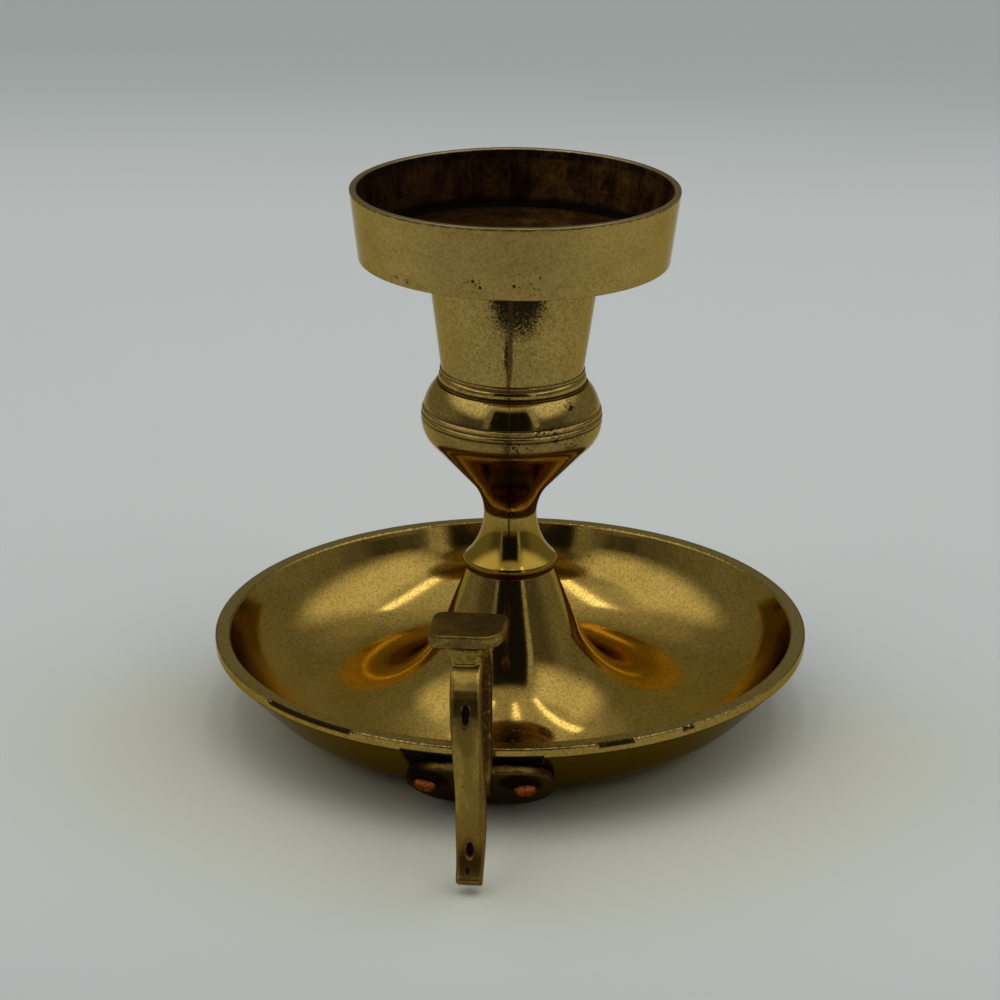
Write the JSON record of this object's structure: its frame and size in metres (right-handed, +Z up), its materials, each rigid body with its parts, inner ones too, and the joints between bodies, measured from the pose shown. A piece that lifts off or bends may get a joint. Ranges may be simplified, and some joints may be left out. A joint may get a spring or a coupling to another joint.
{
  "type": "chamberstick",
  "caption": "Brass chamberstick: a dished pan with a cone, a moulded hollow stem, a lift-out drip cup with a candle tube, and a riveted finger hook with a thumb pad.",
  "frame": {"origin": "on the stem's axis, on the surface that the pan's base ring stands on", "axes": "+Z up the stem, out of the candle tube; -Y towards the finger hook; +X to the right when the hook faces the viewer"},
  "size_m": [0.14, 0.1673, 0.1276],
  "materials": {
    "pan_brass": "turned and polished, aged, with tarnish in the groove and on the rim",
    "stem_brass": "cast, turned and polished, with small casting pits",
    "cup_brass": "polished outside with casting pits, brown tarnish inside",
    "handle_brass": "cast and hand-filed, polished in front, brown at the sides",
    "fitting_brass": "plain, tarnished",
    "copper": null
  },
  "bodies": {
    "stand": {"pan": "pan_brass", "stem_left": "stem_brass", "stem_right": "stem_brass", "stem_tenon": "fitting_brass", "tenon_washer": "fitting_brass", "handle": "handle_brass", "rivet_left": "copper", "rivet_right": "copper"},
    "cup": {"cup": "cup_brass", "candle_tube": "fitting_brass"}
  },
  "joints": [
    {"name": "cup_lift", "type": "slide", "parent": "stand", "child": "cup", "axis": [0, 0, 1], "range_m": [0, 0.045]}
  ]
}
